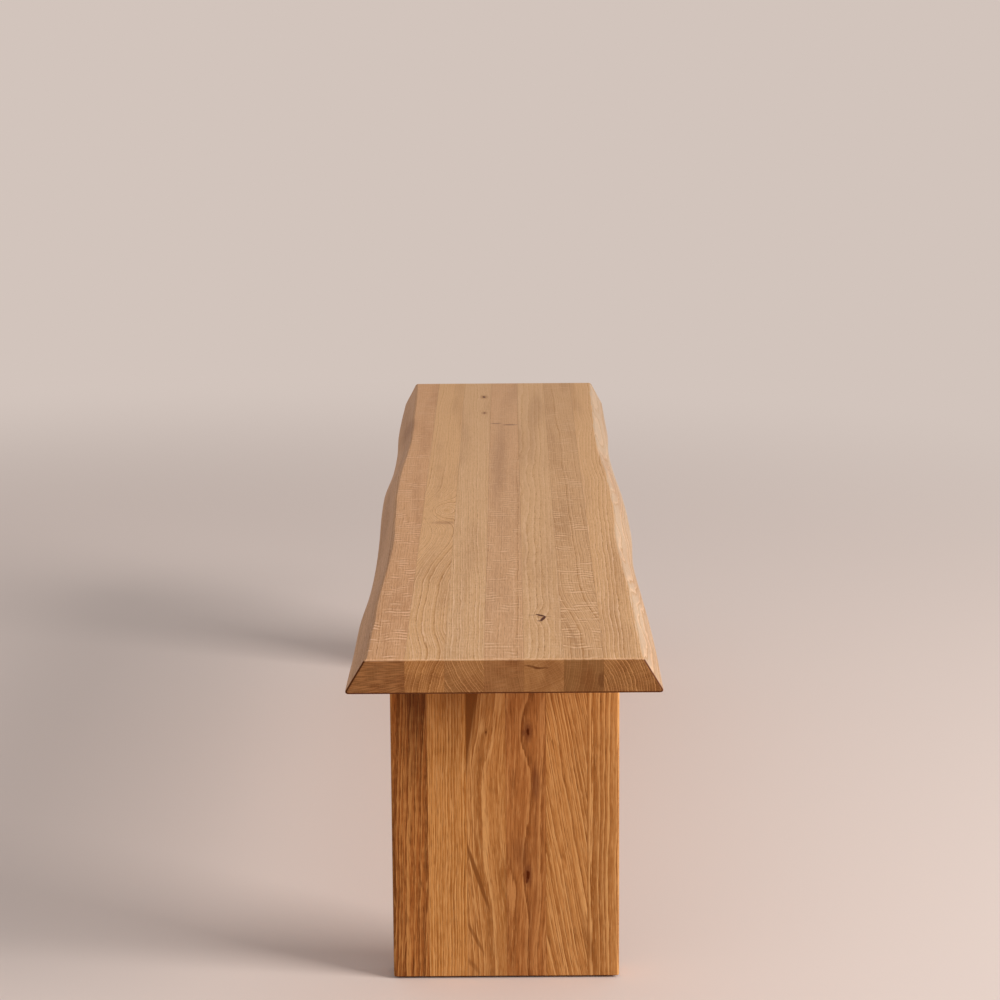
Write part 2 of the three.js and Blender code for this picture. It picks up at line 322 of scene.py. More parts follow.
def follow_grain(tree, here, heart, tilt, along_board, drifts, wild):
    """Places measured from the heart, the second axis along the grain, which drifts and wanders."""
    grain = add(tree, "Mapping", vector(tree, "SUBTRACT", here, heart), (0, 0, 0), tilt, (1, 1, 1))
    for sideways, start, finish in drifts:
        moved = add(tree, "CombineXYZ", step(tree, along_board, start, finish, 0.0, -sideways), 0.0, 0.0)
        grain = vector(tree, "ADD", grain, moved)
    slow = tree.nodes.new("ShaderNodeTexNoise")
    slow.inputs["Scale"].default_value = 1.0
    tree.links.new(stretch(tree, grain, sway_cells), slow.inputs["Vector"])
    sway = most_sway * wild
    centred = (-sway / 2, 0, -sway / 2)
    swing = vector(tree, "MULTIPLY_ADD", slow.outputs["Color"], (sway, 0, sway), centred)
    return vector(tree, "ADD", grain, swing)


def knots_in(tree, here, upright, radius, crumble, knots):
    """Knots push the rings aside round a ragged dark slit with a brown ring about it.

    A knot is its place across and along, the size of its slit, and how far it reaches and pushes.
    """
    slits, rims = [], []
    for across, along, size, reach, push in knots:
        apart = around(tree, here, upright, across, along, reach, reach * swirl_stretch)
        hill = calc(tree, "EXPONENT", times(tree, vector(tree, "DOT_PRODUCT", apart, apart), -1.0))
        radius = calc(tree, "MULTIPLY_ADD", hill, push, radius)
        if size > 0:
            apart = around(tree, here, upright, across, along, size, size * slit_stretch)
            ragged = calc(tree, "MULTIPLY_ADD", crumble, 1.6, vector(tree, "LENGTH", apart))
            slits.append(step(tree, ragged, 1.4, 2.1, 1.0, 0.0))
            rims.append(step(tree, ragged, 1.6, 5.0, 0.75, 0.0))
    return radius, slits, rims


def rings_in(tree, grain, radius, ring, thick, fibre):
    """Yearly rings of uneven width: a dark line of spring wood that fades into the summer wood, and the
    pale line that ends the year."""
    years = calc(tree, "DIVIDE", radius, ring)
    uneven = add(tree, "TexNoise", radius, ring_width_cells, 2.0, 0.5, noise_dimensions="1D")
    years = calc(tree, "MULTIPLY_ADD", uneven, 3.0, years)
    years = calc(tree, "MULTIPLY_ADD", pattern(tree, grain, ruffle_cells), 0.6, years)
    years = calc(tree, "MULTIPLY_ADD", pattern(tree, grain, fray_cells, 1), 0.25, years)
    season = calc(tree, "FRACT", years)
    vigour = add(tree, "TexWhiteNoise", calc(tree, "FLOOR", years), noise_dimensions="1D")
    band_end = calc(tree, "MULTIPLY_ADD", vigour, thick, 0.10 + thick / 2)
    band = times(tree, step(tree, season, 0.0, 0.06), step(tree, season, 0.08, band_end, 1.0, 0.0))
    streak = step(tree, fibre, 0.36, 0.60, 0.45, 1.0)
    strength = times(tree, streak, calc(tree, "MULTIPLY_ADD", vigour, 0.45, 0.55))
    return times(tree, band, strength), step(tree, season, 0.70, 0.92)


def rays_in(tree, grain, radius):
    """Rays run outwards from the heart. Where the face is cut along them they flash in groups of fine
    ripples across the grain, each with its shade beside it."""
    way = axes(tree, grain)
    bearing = calc(tree, "ARCTAN2", way["Z"], way["X"])
    waver = times(tree, pattern(tree, grain, waver_cells, 1), 14.0)
    ripples = calc(tree, "SINE", calc(tree, "MULTIPLY_ADD", way["Y"], 2 * pi / ray_spacing, waver))
    spread = [times(tree, part, cells) for part, cells in zip((bearing, way["Y"], radius), ray_groups)]
    group = noise(tree, add(tree, "CombineXYZ", *spread))
    flash = step(tree, calc(tree, "MULTIPLY_ADD", ripples, 0.12, group), 0.57, 0.74)
    shade = step(tree, calc(tree, "MULTIPLY_ADD", ripples, -0.12, group), 0.57, 0.74)
    return flash, shade, bearing


def marked(tree, colour, here, upright, fibre, marks, mark_colour):
    """Lays marks over the colour: a mark is its place across and along, its half width and half length,
    its turn in degrees and its strength."""
    for across, along, wide, long, angle, strength in marks:
        apart = around(tree, here, upright, across, along, wide, long, angle)
        distance = calc(tree, "MULTIPLY_ADD", fibre, 0.5, vector(tree, "LENGTH", apart))
        spread = step(tree, distance, 0.10 + 0.85 * strength, 1.30, strength, 0.0)
        colour = mix(tree, spread, colour, mark_colour)
    return colour


def highest(tree, values):
    """The highest of one or more numbers."""
    top = values[0]
    for value in values[1:]:
        top = calc(tree, "MAXIMUM", top, value)
    return top


def oak(name, tone, heart, ring, seams, upright=False, turn=0.0, lean=0.0, drifts=(), wild=0.5,
        cloudy=0.4, rays=0.1, bold=1.0, lines=0.9, thick=0.4, faint=1.0, end=0.52, haze=0.0,
        end_rays=0.15, sapwood=0.0, knots=(), stains_and_shade=(), cracks=(), checks=()):
    """Oak all the way through. The yearly rings lie round the heart of the tree, a line along the grain.

    heart is a point of that line, ring the width of a year's growth, turn and lean the angles in degrees
    at which the grain runs off the board, and each drift a sideways step of the grain between two places
    along it. wild is how far the grain wanders, cloudy how brown its clouds are and rays how bright its
    rays. bold is the strength of the fibres, lines and thick that of the dark lines, and faint what is
    left of the figure at the far end, where it is painted fainter as a painted sheen. On the sawn ends,
    end is how light they are, haze hides the rings and end_rays shows the rays. sapwood is how much the
    natural edge has of it. seams are the glue lines. Knots and cracks are marks on the face, and
    stains_and_shade dark marks on it: the wood's own, and on the near leg painted shade under the seat.
    checks are small cracks in an end.
    """
    summer, spring, pale_line, deep = (paint(code) for code in tones[tone])
    material, tree, shader = new_material(name)
    where = tree.nodes.new("ShaderNodeTexCoord")
    here = where.outputs["Object"]
    spot = axes(tree, here)
    along_board = spot["Z" if upright else "Y"]
    up_way = axes(tree, where.outputs["Normal"])["Z"]
    facing = axes(tree, vector(tree, "ABSOLUTE", where.outputs["Normal"]))

    quarter = -90 if upright else 0
    tilt = (radians(quarter + lean), 0, radians(turn))
    grain = follow_grain(tree, here, heart, tilt, along_board, drifts, wild)
    radius = vector(tree, "LENGTH", vector(tree, "MULTIPLY", grain, (1, 0, 1)))
    crumble = pattern(tree, here, crumb_cells)
    radius, slits, rims = knots_in(tree, here, upright, radius, crumble, knots)
    fibre = pattern(tree, grain, fibre_cells, 4, 0.65)
    short_fibre = pattern(tree, grain, short_fibre_cells)
    band, glow = rings_in(tree, grain, radius, ring, thick, fibre)
    flash, shade, bearing = rays_in(tree, grain, radius)
    pore = step(tree, pattern(tree, grain, pore_cells, 1), 0.54, 0.64)
    pores = times(tree, pore, calc(tree, "MULTIPLY_ADD", band, 0.8, 0.25))

    # The figure is painted fainter towards the far end of the seat, a painted sheen where the grazing
    # reflection washes it out, and it is fainter on the natural edge, which is sapwood: paler and greyer
    drawn = 1.0 if upright else step(tree, along_board, near_end, far_end, 1.0, faint)
    colour = summer
    if sapwood:
        drawn = times(tree, drawn, step(tree, facing["X"], *edge_lean, 1.0, 0.6))
        colour = mix(tree, step(tree, facing["X"], *edge_lean, 0.0, sapwood), colour, oak_sapwood)

    def draw(under, figure, strength, over):
        """Lays a colour over another where the figure is, as strongly as this stave shows it."""
        return mix(tree, times(tree, times(tree, figure, strength), drawn), under, over)

    # The figure of the face: fibres, brown clouds, rings, short fibres, rays and pores
    colour = draw(colour, step(tree, fibre, 0.50, 0.74), 0.8 * bold, pale_line)
    colour = draw(colour, step(tree, fibre, 0.28, 0.50, 1.0, 0.0), 0.6 * bold, spring)
    brown = step(tree, pattern(tree, grain, brown_cells, 3), 0.44, 0.68, 0.0, cloudy)
    colour = mix(tree, brown, colour, deep)
    colour = draw(colour, glow, 0.7 * lines, pale_line)
    colour = draw(colour, band, lines, spring)
    colour = draw(colour, step(tree, short_fibre, 0.54, 0.70), 0.5 * bold, pale_line)
    colour = draw(colour, step(tree, short_fibre, 0.30, 0.46, 1.0, 0.0), 0.6 * bold, spring)
    flat_on = step(tree, facing["X"], *edge_lean, 1.0, 0.2)
    colour = draw(colour, times(tree, flash, flat_on), rays, pale_line)
    colour = draw(colour, times(tree, shade, flat_on), 0.5 * rays, spring)
    colour = draw(colour, pores, 0.5, oak_pore)
    colour = marked(tree, colour, here, upright, fibre, stains_and_shade, deep)
    colour = marked(tree, colour, here, upright, fibre, cracks, oak_dark)
    if slits:
        colour = mix(tree, highest(tree, rims), colour, deep)
        colour = mix(tree, highest(tree, slits), colour, oak_dark)

    # A thin dark line where the next stave is glued on
    for seam in seams:
        apart = calc(tree, "ABSOLUTE", calc(tree, "SUBTRACT", spot["X"], seam))
        colour = mix(tree, step(tree, apart, *glue_line, 0.40, 0.0), colour, deep)

    # End grain drinks the oil and goes darker in clouds, but for the pale lines and the rays
    sawn = step(tree, facing["Z" if upright else "Y"], 0.55, 0.95)
    colour = mix(tree, times(tree, sawn, haze), colour, summer)
    colour = mix(tree, sawn, colour, (*(end * part for part in end_tint), 1), "MULTIPLY")
    soaked = step(tree, pattern(tree, here, soak_cells, 3), 0.42, 0.66, 0.0, 0.45)
    colour = mix(tree, times(tree, sawn, soaked), colour, oak_soaked)
    ring_ends = times(tree, glow, 0.5 * lines * (1 - haze))
    spread = [times(tree, part, cells) for part, cells in zip((bearing, radius), end_ray_groups)]
    ray_ends = noise(tree, add(tree, "CombineXYZ", spread[0], 0.0, spread[1]), 1, 0.45)
    ray_ends = step(tree, ray_ends, 0.44, 0.62, 0.0, end_rays)
    oiled = (*(part * tint for part, tint in zip(summer, oiled_tint)), 1)
    colour = mix(tree, times(tree, sawn, highest(tree, (ring_ends, ray_ends))), colour, oiled)
    for across, up, wide, tall, angle, strength in checks:
        apart = around(tree, here, True, across, up, wide, tall, angle)
        distance = calc(tree, "MULTIPLY_ADD", crumble, 0.5, vector(tree, "LENGTH", apart))
        torn = step(tree, distance, 0.70, 1.50, strength, 0.0)
        colour = mix(tree, times(tree, sawn, torn), colour, oak_dark)

    # The rounded edges are rubbed a little paler: wear, and on the seat, where only the top arris of the
    # sawn ends takes it, partly a painted highlight. Along the natural edge and underneath, the seat's
    # sawn ends are painted dark: partly the oil lying dark there, partly painted shade.
    high_side = calc(tree, "MAXIMUM", up_way, facing["X"] if upright else 0.0)
    worn_and_highlit_edge = step(tree, times(tree, facing["Y"], high_side), 0.28, 0.46)
    rubbed = times(tree, worn_and_highlit_edge, step(tree, crumble, 0.30, 0.60, 0.15, 0.40))
    colour = mix(tree, rubbed, colour, pale_line)
    if not upright:
        low_side = calc(tree, "MAXIMUM", facing["X"], times(tree, up_way, -1.0))
        oiled_and_shaded_edge = step(tree, times(tree, facing["Y"], low_side), 0.20, 0.40, 0.0, 0.9)
        colour = mix(tree, oiled_and_shaded_edge, colour, oak_dark)
    tree.links.new(colour, shader.inputs["Base Color"])

    matt = calc(tree, "MULTIPLY_ADD", band, 0.15, 0.34)
    matt = calc(tree, "MULTIPLY_ADD", pores, 0.25, matt)
    matt = calc(tree, "MULTIPLY_ADD", fibre, 0.08, matt)
    tree.links.new(matt, shader.inputs["Roughness"])
    shader.inputs["IOR"].default_value = 1.46
    shader.inputs["Specular IOR Level"].default_value = 0.02
    shader.inputs["Coat Weight"].default_value = 0.06
    shader.inputs["Coat Roughness"].default_value = 0.35

    height = calc(tree, "MULTIPLY_ADD", pores, -1.0, times(tree, fibre, 0.35))
    height = calc(tree, "MULTIPLY_ADD", band, -0.35, height)
    tree.links.new(add(tree, "Bump", 0.5, 0.00018, None, height), shader.inputs["Normal"])
    return material


# The sanded seat has finer lines than the legs, and they are painted fainter towards its far end,
# a painted sheen
seat_figure = dict(bold=0.5, thick=0.22, faint=0.35)

# Left edge, tone, place of the heart from the stave's middle across and up, ring width, and the figure
seat_staves = {
    2: dict(
        left=-0.110, tone="honey", heart=(0.110, -0.030), ring=0.0033, turn=0.5, wild=0.8, rays=0.12,
        end=0.55, drifts=((0.034, -0.56, -0.22), (-0.012, -0.90, -0.74)),
        knots=((-0.090, -0.120, 0.0, 0.026, -0.036), (-0.0557, -0.794, 0.0007, 0.010, 0.003)),
        stains_and_shade=((-0.080, -0.200, 0.024, 0.014, 0, 0.50), (-0.098, 0.178, 0.006, 0.040, 0, 0.15)),
    ),
    3: dict(
        left=-0.066, tone="straw", heart=(0.075, 0.045), ring=0.0036, turn=-0.6, wild=0.6, rays=0.15,
        end=0.49,
        knots=((-0.0335, 0.765, 0.0023, 0.010, 0.004), (-0.0318, 0.617, 0.0016, 0.010, 0.003)),
    ),
    4: dict(
        left=-0.022, tone="plum", heart=(0.130, 0.014), ring=0.0032, turn=0.3, rays=0.55, lines=0.6,
        cloudy=0.25, end=0.45, haze=0.4,
        stains_and_shade=((-0.007, 0.20, 0.016, 0.34, 0, 0.32),),
        cracks=((-0.0130, 0.524, 0.0125, 0.0075, 0, 0.45), (0.0090, 0.512, 0.0150, 0.0060, 0, 0.60)),
    ),
    5: dict(
        left=0.022, tone="straw", heart=(-0.028, 0.080), ring=0.0030, turn=0.4, wild=0.3, rays=0.2,
        lines=0.5, haze=0.3,
        knots=((0.0420, -0.712, 0.0, 0.011, 0.004),),
        stains_and_shade=((0.0430, -0.712, 0.0060, 0.0130, 10, 0.35),),
        cracks=((0.0429, -0.7063, 0.0030, 0.0100, 43, 1.0), (0.0454, -0.7213, 0.0026, 0.0125, -14, 1.0),
                (0.0414, -0.7320, 0.0040, 0.0030, 0, 0.8), (0.0325, -0.7045, 0.0070, 0.0017, 0, 0.60),
                (0.0520, -0.7115, 0.0050, 0.0015, 0, 0.40)),
        checks=((0.0300, 0.4412, 0.0080, 0.0014, 12, 0.6), (0.0380, 0.4392, 0.0065, 0.0014, 0, 0.7),
                (0.0460, 0.4395, 0.0040, 0.0011, 0, 0.45)),
    ),
    6: dict(
        left=0.066, tone="tan", heart=(-0.120, 0.016), ring=0.0034, turn=-0.5, rays=0.80, end=0.39,
        haze=0.65, end_rays=0.05, drifts=((-0.020, -0.80, -0.55),),
        stains_and_shade=((0.078, -0.80, 0.003, 0.09, 5, 0.4),),
        checks=((0.1080, 0.425, 0.0050, 0.0110, 0, 0.45),),
    ),
}

for number, stave in seat_staves.items():
    left = stave.pop("left")
    right = left + stave_width
    piece = blank(f"oak_seat_stave_{number}", (left, near_end, underside), (right, far_end, sitting_height))
    pick(piece, "EDGE", lambda line: at_end(line)
         and (at(line, 2, sitting_height) or at(line, 2, underside)))
    bpy.ops.mesh.bevel(offset=seat_arris, segments=arris_segments, affect="EDGES")
    done()
    for column in (-outer_column, -inner_column, inner_column, outer_column):
        if left < column < right:
            for row in (-seat_bolt_row, seat_bolt_row):
                drill(piece, (column, row, underside), (0, 0, 1))
    smooth(piece)
    across, up = stave.pop("heart")
    heart = ((left + right) / 2 + across, 0, (underside + sitting_height) / 2 + up)
    wood = oak(f"seat_oak_stave_{number}", heart=heart, seams=(left, right), **seat_figure, **stave)
    piece.data.materials.append(wood)
    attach(piece, "root")
    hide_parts(f"seat_stave_{number}")


# Live-edge seat staves
# Seat staves 1 and 7: the outer staves of the same oak. Their outer side is the natural edge of the
# tree, with the bark off and sanded smooth. It leans outwards to the underside and wanders in and out
# along the seat.
seam_place = 0.110
half_depth = 0.1765
edge_stave_middle = 0.142
cuts_per_station = 8
wane_rows = 7
foot_round = 0.006
foot_spread = 0.0018
hollow_size = 0.055
hollow_depth = 0.0011

# Outlines at even stations from the near end to the far end, as shares of half the seat's depth: the
# foot of the live edge on the underside and its crest on the sitting surface. The foot is spread a little,
# because rounding it takes that much off
live_edges = {
    1: dict(
        side=-1,
        foot=(1, 0.99, 0.985, 0.955, 0.95, 0.96, 0.98, 0.985, 0.95, 0.945, 0.965, 0.965, 0.955),
        crest=(0.875, 0.865, 0.86, 0.835, 0.825, 0.845, 0.86, 0.855, 0.825, 0.815, 0.825, 0.83, 0.845),
        tone="rose", heart=(0.160, 0.016), ring=0.0030, turn=-0.6, rays=0.80, lines=0.6, end=0.355,
        haze=0.7, end_rays=0.28,
        stains_and_shade=((-0.150, 0.520, 0.020, 0.090, 0, 0.4),),
    ),
    7: dict(
        side=1,
        foot=(1, 1, 0.99, 0.97, 0.955, 0.98, 0.98, 0.965, 0.935, 0.92, 0.94, 0.94, 0.94),
        crest=(0.875, 0.87, 0.865, 0.845, 0.83, 0.85, 0.85, 0.835, 0.805, 0.8, 0.815, 0.82, 0.83),
        tone="honey", heart=(-0.065, -0.025), ring=0.0032, turn=0.5, wild=0.8, rays=0.15, end=0.44,
        sapwood=1.0,
    ),
}


def smooth_line(values, cuts):
    """Depths on a smooth line through the station values, with so many steps from station to station."""
    line = []
    for start in range(len(values) - 1):
        before, here = values[max(start - 1, 0)], values[start]
        there, after = values[start + 1], values[min(start + 2, len(values) - 1)]
        leave, arrive = (there - before) / 2, (after - here) / 2
        for cut in range(cuts):
            t = cut / cuts
            bend = (2 * here - 2 * there + leave + arrive) * t**3
            swell = (-3 * here + 3 * there - 2 * leave - arrive) * t**2
            line.append(bend + swell + leave * t + here)
    return line + [values[-1]]


def past_seam(corners):
    """True where all of the corners lie outside the glue line of a live-edge stave."""
    return all(abs(corner.x) > seam_place + touch for corner in corners)


for number, stave in live_edges.items():
    side = stave.pop("side")
    crests = [share * half_depth for share in smooth_line(stave.pop("crest"), cuts_per_station)]
    feet = [share * half_depth + foot_spread for share in smooth_line(stave.pop("foot"), cuts_per_station)]
    inner, outer = sorted((side * seam_place, side * half_depth))
    low, high = (inner, near_end, underside), (outer, far_end, sitting_height)
    piece = blank(f"oak_seat_stave_{number}", low, high)

    # Cut across at every station, and the outer corners moved to the outline there
    pick(piece, "EDGE", lambda line: runs(line) > touch)
    bpy.ops.mesh.subdivide(number_cuts=len(crests) - 2)
    done()
    for place, (crest, foot) in enumerate(zip(crests, feet)):
        station = near_end + place / (len(crests) - 1) * (far_end - near_end)
        for height, depth in ((sitting_height, crest), (underside, foot)):
            pick(piece, "VERT", lambda corner: at(corner, 1, station) and at(corner, 2, height)
                 and at(corner, 0, side * half_depth))
            bpy.ops.transform.translate(value=(side * (depth - half_depth), 0, 0))
            done()

    # The foot rounded full, rows along the sloping face, then the crest and the sawn ends rounded
    pick(piece, "EDGE", lambda line: past_seam(line) and at(line, 2, underside))
    bpy.ops.mesh.bevel(offset=foot_round, segments=arris_segments, affect="EDGES")
    done()
    pick(piece, "EDGE", lambda line: past_seam(line) and rises(line) > foot_round)
    bpy.ops.mesh.subdivide(number_cuts=wane_rows)
    done()
    pick(piece, "EDGE", lambda line: not at(line, 0, side * seam_place)
         and (at_end(line) or (past_seam(line) and at(line, 2, sitting_height))))
    bpy.ops.mesh.bevel(offset=seat_arris, segments=arris_segments, affect="EDGES")
    done()

    # Shallow hollows, as hand sanding leaves them
    pick(piece, "VERT", lambda corner: past_seam(corner)
         and underside + foot_round < corner[0].z < sitting_height - touch
         and abs(corner[0].y) < far_end - 2 * seat_arris)
    wane = piece.vertex_groups.new(name="wane")
    bpy.ops.object.vertex_group_assign()
    done()
    clouds = bpy.data.textures.new(f"hollows_{number}", "CLOUDS")
    clouds.noise_scale = hollow_size
    clouds.noise_depth = 1
    hollows = piece.modifiers.new("hollows", "DISPLACE")
    hollows.texture = clouds
    hollows.texture_coords = "LOCAL"
    hollows.vertex_group = wane.name
    hollows.mid_level = 0
    hollows.strength = -hollow_depth
    take(piece)
    bpy.ops.object.modifier_apply(modifier=hollows.name)
    smooth(piece)

    across, up = stave.pop("heart")
    heart = (side * edge_stave_middle + across, 0, (underside + sitting_height) / 2 + up)
    seams = (side * seam_place,)
    wood = oak(f"seat_oak_stave_{number}", heart=heart, seams=seams, **seat_figure, **stave)
    piece.data.materials.append(wood)
    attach(piece, "root")
    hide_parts(f"seat_stave_{number}_live_edge")


# Leg boards
# Two upright boards, each of six oak staves glued edge to edge with their grain upright, 40 mm thick.
# The outer corners and the foot have a small rounded arris. Staves 2 and 5 are bored on the inner face
# for the inserts.
leg_half_width = 0.135
leg_seam_shares = (0, 0.159, 0.33, 0.503, 0.678, 0.86, 1)
leg_seams = tuple(share * 2 * leg_half_width - leg_half_width for share in leg_seam_shares)
leg_outer_face, leg_inner_face = 0.700, 0.660
leg_foot = 0.0025
leg_arris = 0.003
foot_arris = 0.0015
foot_segments = 3
leg_column = 0.066
upper_bolt, lower_bolt = 0.384, 0.356
leg_heart_height = 0.2

# Tone, place of the heart from the stave's middle across and into the board, ring width, and the figure
leg_staves = {
    "near": (
        dict(
            tone="umber", heart=(0.060, 0.060), ring=0.0040, turn=1, lean=0.5, wild=0.8, rays=0.12,
            lines=1.0, bold=1.2,
            # The darker top of this stave is partly its own colour and partly painted shade under the seat
            stains_and_shade=((-0.103, 0.415, 0.036, 0.130, 0, 0.65), (-0.108, 0.300, 0.018, 0.095, 0, 0.25)),
        ),
        dict(
            tone="cider", heart=(-0.120, 0.050), ring=0.0028, wild=0.9, rays=0.06, cloudy=0.2,
            # Both marks are painted shade, where the seat hangs over the top of the leg
            stains_and_shade=((-0.066, 0.385, 0.045, 0.080, 0, 0.45), (-0.056, 0.320, 0.016, 0.080, 0, 0.15)),
        ),
        dict(
            tone="amber", heart=(0.030, 0.055), ring=0.0042, wild=0.8, rays=0.06, bold=1.1,
            drifts=((-0.012, 0.00, 0.20), (0.014, 0.25, 0.41)),
            knots=((-0.0222, 0.307, 0.0006, 0.008, 0.003),),
            # The fourth mark, high on the stave, is painted shade under the seat; the others are the wood's
            # own
            stains_and_shade=((-0.0470, 0.400, 0.026, 0.250, 7, 1.0), (-0.0340, 0.130, 0.0030, 0.055, -18, 0.85),
                    (-0.0370, 0.052, 0.0030, 0.032, -27, 0.65), (-0.0300, 0.390, 0.030, 0.070, 0, 0.35),
                    (-0.0390, 0.016, 0.0040, 0.018, -38, 0.5)),
        ),
        dict(
            tone="russet", heart=(-0.010, 0.045), ring=0.0040, turn=2, wild=1.4, rays=0.08, cloudy=0.7,
            knots=((0.0273, 0.307, 0.0017, 0.012, 0.004), (0.0264, 0.130, 0.0019, 0.012, 0.004)),
            stains_and_shade=((0.0215, 0.306, 0.0030, 0.0060, 0, 0.6), (0.036, 0.244, 0.006, 0.030, 0, 0.6),
                    (0.018, 0.155, 0.018, 0.030, 0, 0.35)),
            cracks=((0.0264, 0.1270, 0.0019, 0.0088, 14, 1.0),),
        ),
        dict(
            tone="amber", heart=(-0.090, 0.045), ring=0.0038, turn=-10, wild=0.8, rays=0.06, cloudy=0.2,
            stains_and_shade=((0.0950, 0.055, 0.0045, 0.055, -8, 0.4),),
        ),
        dict(
            tone="amber", heart=(-0.110, 0.080), ring=0.0050, turn=-1, wild=1.0, rays=0.06, cloudy=0.3,
            lines=1.0, thick=0.6, bold=0.8,
            stains_and_shade=((0.1020, 0.035, 0.0060, 0.045, -12, 0.4),),
        ),
    ),
    "far": (
        dict(tone="cider", heart=(0.110, 0.030), ring=0.0030, wild=0.8, rays=0.10),
        dict(
            tone="russet", heart=(0.010, 0.050), ring=0.0040, wild=1.2, rays=0.06,
            knots=((-0.070, 0.220, 0.0016, 0.014, 0.006),),
        ),
        dict(tone="amber", heart=(-0.100, 0.040), ring=0.0034, turn=-3, rays=0.06),
        dict(tone="cider", heart=(0.050, 0.050), ring=0.0044, wild=1.3, rays=0.08),
        dict(tone="umber", heart=(0.140, 0.004), ring=0.0030, rays=0.18),
        dict(tone="amber", heart=(-0.060, 0.060), ring=0.0046, turn=3, rays=0.06),
    ),
}

for end, side in (("near", -1), ("far", 1)):
    for number, stave in enumerate(leg_staves[end], 1):
        left, right = leg_seams[number - 1], leg_seams[number]
        front, back = sorted((side * leg_outer_face, side * leg_inner_face))
        piece = blank(f"oak_{end}_leg_stave_{number}", (left, front, leg_foot), (right, back, underside))
        pick(piece, "EDGE", lambda line: rises(line) > touch
             and (at(line, 0, leg_half_width) or at(line, 0, -leg_half_width)))
        bpy.ops.mesh.bevel(offset=leg_arris, segments=arris_segments, affect="EDGES")
        done()
        pick(piece, "EDGE", lambda line: at(line, 2, leg_foot)
             and not any(at(line, 0, seam) for seam in leg_seams[1:-1]))
        bpy.ops.mesh.bevel(offset=foot_arris, segments=foot_segments, affect="EDGES")
        done()
        for column in (-leg_column, leg_column):
            if left < column < right:
                for height in (upper_bolt, lower_bolt):
                    drill(piece, (column, side * leg_inner_face, height), (0, side, 0))
        smooth(piece)
        across, deep_in = stave.pop("heart")
        middle = side * (leg_outer_face + leg_inner_face) / 2
        heart = ((left + right) / 2 + across, middle - side * deep_in, leg_heart_height)
        seams = [seam for seam in (left, right) if abs(seam) < leg_half_width - touch]
        wood = oak(f"leg_oak_{end}_stave_{number}", heart=heart, seams=seams, upright=True, **stave)
        piece.data.materials.append(wood)
        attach(piece, "root")
        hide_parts(f"{end}_leg_stave_{number}")


# Steel brackets
# Four angle brackets of 5 mm steel plate, bent cold and powder coated black. One flange bolts up under
# the seat through two slots that let the board move, the other bolts to the inner face of the leg.
plate = 0.005
seat_bearing = underside - plate
leg_bearing = leg_inner_face - plate
half_bracket = 0.040
seat_flange_end = 0.600
leg_flange_end = 0.335
bend_radius = 0.005
bend_steps = 10
plate_corner = 0.006
corner_segments = 8
worn_edge = 0.0004
worn_segments = 2
bolt_hole = 0.0045
hole_sides = 48
slot_half_travel = 0.006
peel_cells = (900, 900)
dust_cells = (60, 60)


def powder_coat():
    """Black powder coating: a fine orange peel, a little grey where the edges are rubbed."""
    material, tree, shader = new_material("black_powder_coat")
    where = tree.nodes.new("ShaderNodeTexCoord")
    here = where.outputs["Object"]
    peel = pattern(tree, here, peel_cells)
    dust = pattern(tree, here, dust_cells, 4, 0.6)
    colour = mix(tree, step(tree, dust, 0.35, 0.75), paint("191a1b"), paint("242526"))
    facing = axes(tree, vector(tree, "ABSOLUTE", where.outputs["Normal"]))
    flat = calc(tree, "MAXIMUM", facing["X"], calc(tree, "MAXIMUM", facing["Y"], facing["Z"]))
    edge = step(tree, flat, 0.75, 0.97, 1.0, 0.0)
    rubbed = times(tree, edge, step(tree, dust, 0.45, 0.65, 0.1, 0.8))
    colour = mix(tree, rubbed, colour, paint("3d3e40"))
    tree.links.new(colour, shader.inputs["Base Color"])
    tree.links.new(calc(tree, "MULTIPLY_ADD", peel, 0.2, 0.38), shader.inputs["Roughness"])
    tree.links.new(add(tree, "Bump", 0.35, 0.00015, None, peel), shader.inputs["Normal"])
    return material


def place_copy(piece, name, shift=(0, 0, 0), turn=(0, 0, 0)):
    """A copy with its own mesh, turned about the middle of the floor and then shifted."""
    take(piece)
    bpy.ops.object.duplicate()
    made = bpy.context.object
    made.name = made.data.name = name
    made.rotation_euler = [radians(angle) for angle in turn]
    made.location = shift
    bpy.ops.object.transform_apply(location=True, rotation=True, scale=True)
    return made


# The seat flange as a block, its edge next to the leg spun round the bend and drawn down the leg
bracket_low = Vector((-leg_column - half_bracket, bend_radius - leg_bearing, seat_bearing))
bracket_high = Vector((half_bracket - leg_column, -seat_flange_end, underside))
bend_centre = (0, bracket_low.y, seat_bearing - bend_radius)
bracket = blank("steel_bracket_near_left", bracket_low, bracket_high)
pick(bracket, "FACE", lambda face: at(face, 1, bracket_low.y))
bpy.ops.mesh.spin(steps=bend_steps, angle=-pi / 2, center=bend_centre, axis=(1, 0, 0))
drop = leg_flange_end - bend_centre[2]
bpy.ops.mesh.extrude_region_move(TRANSFORM_OT_translate={"value": (0, 0, drop)})
bpy.ops.mesh.select_all(action="SELECT")
bpy.ops.mesh.remove_doubles(threshold=touch)
bpy.ops.mesh.normals_make_consistent(inside=False)
done()

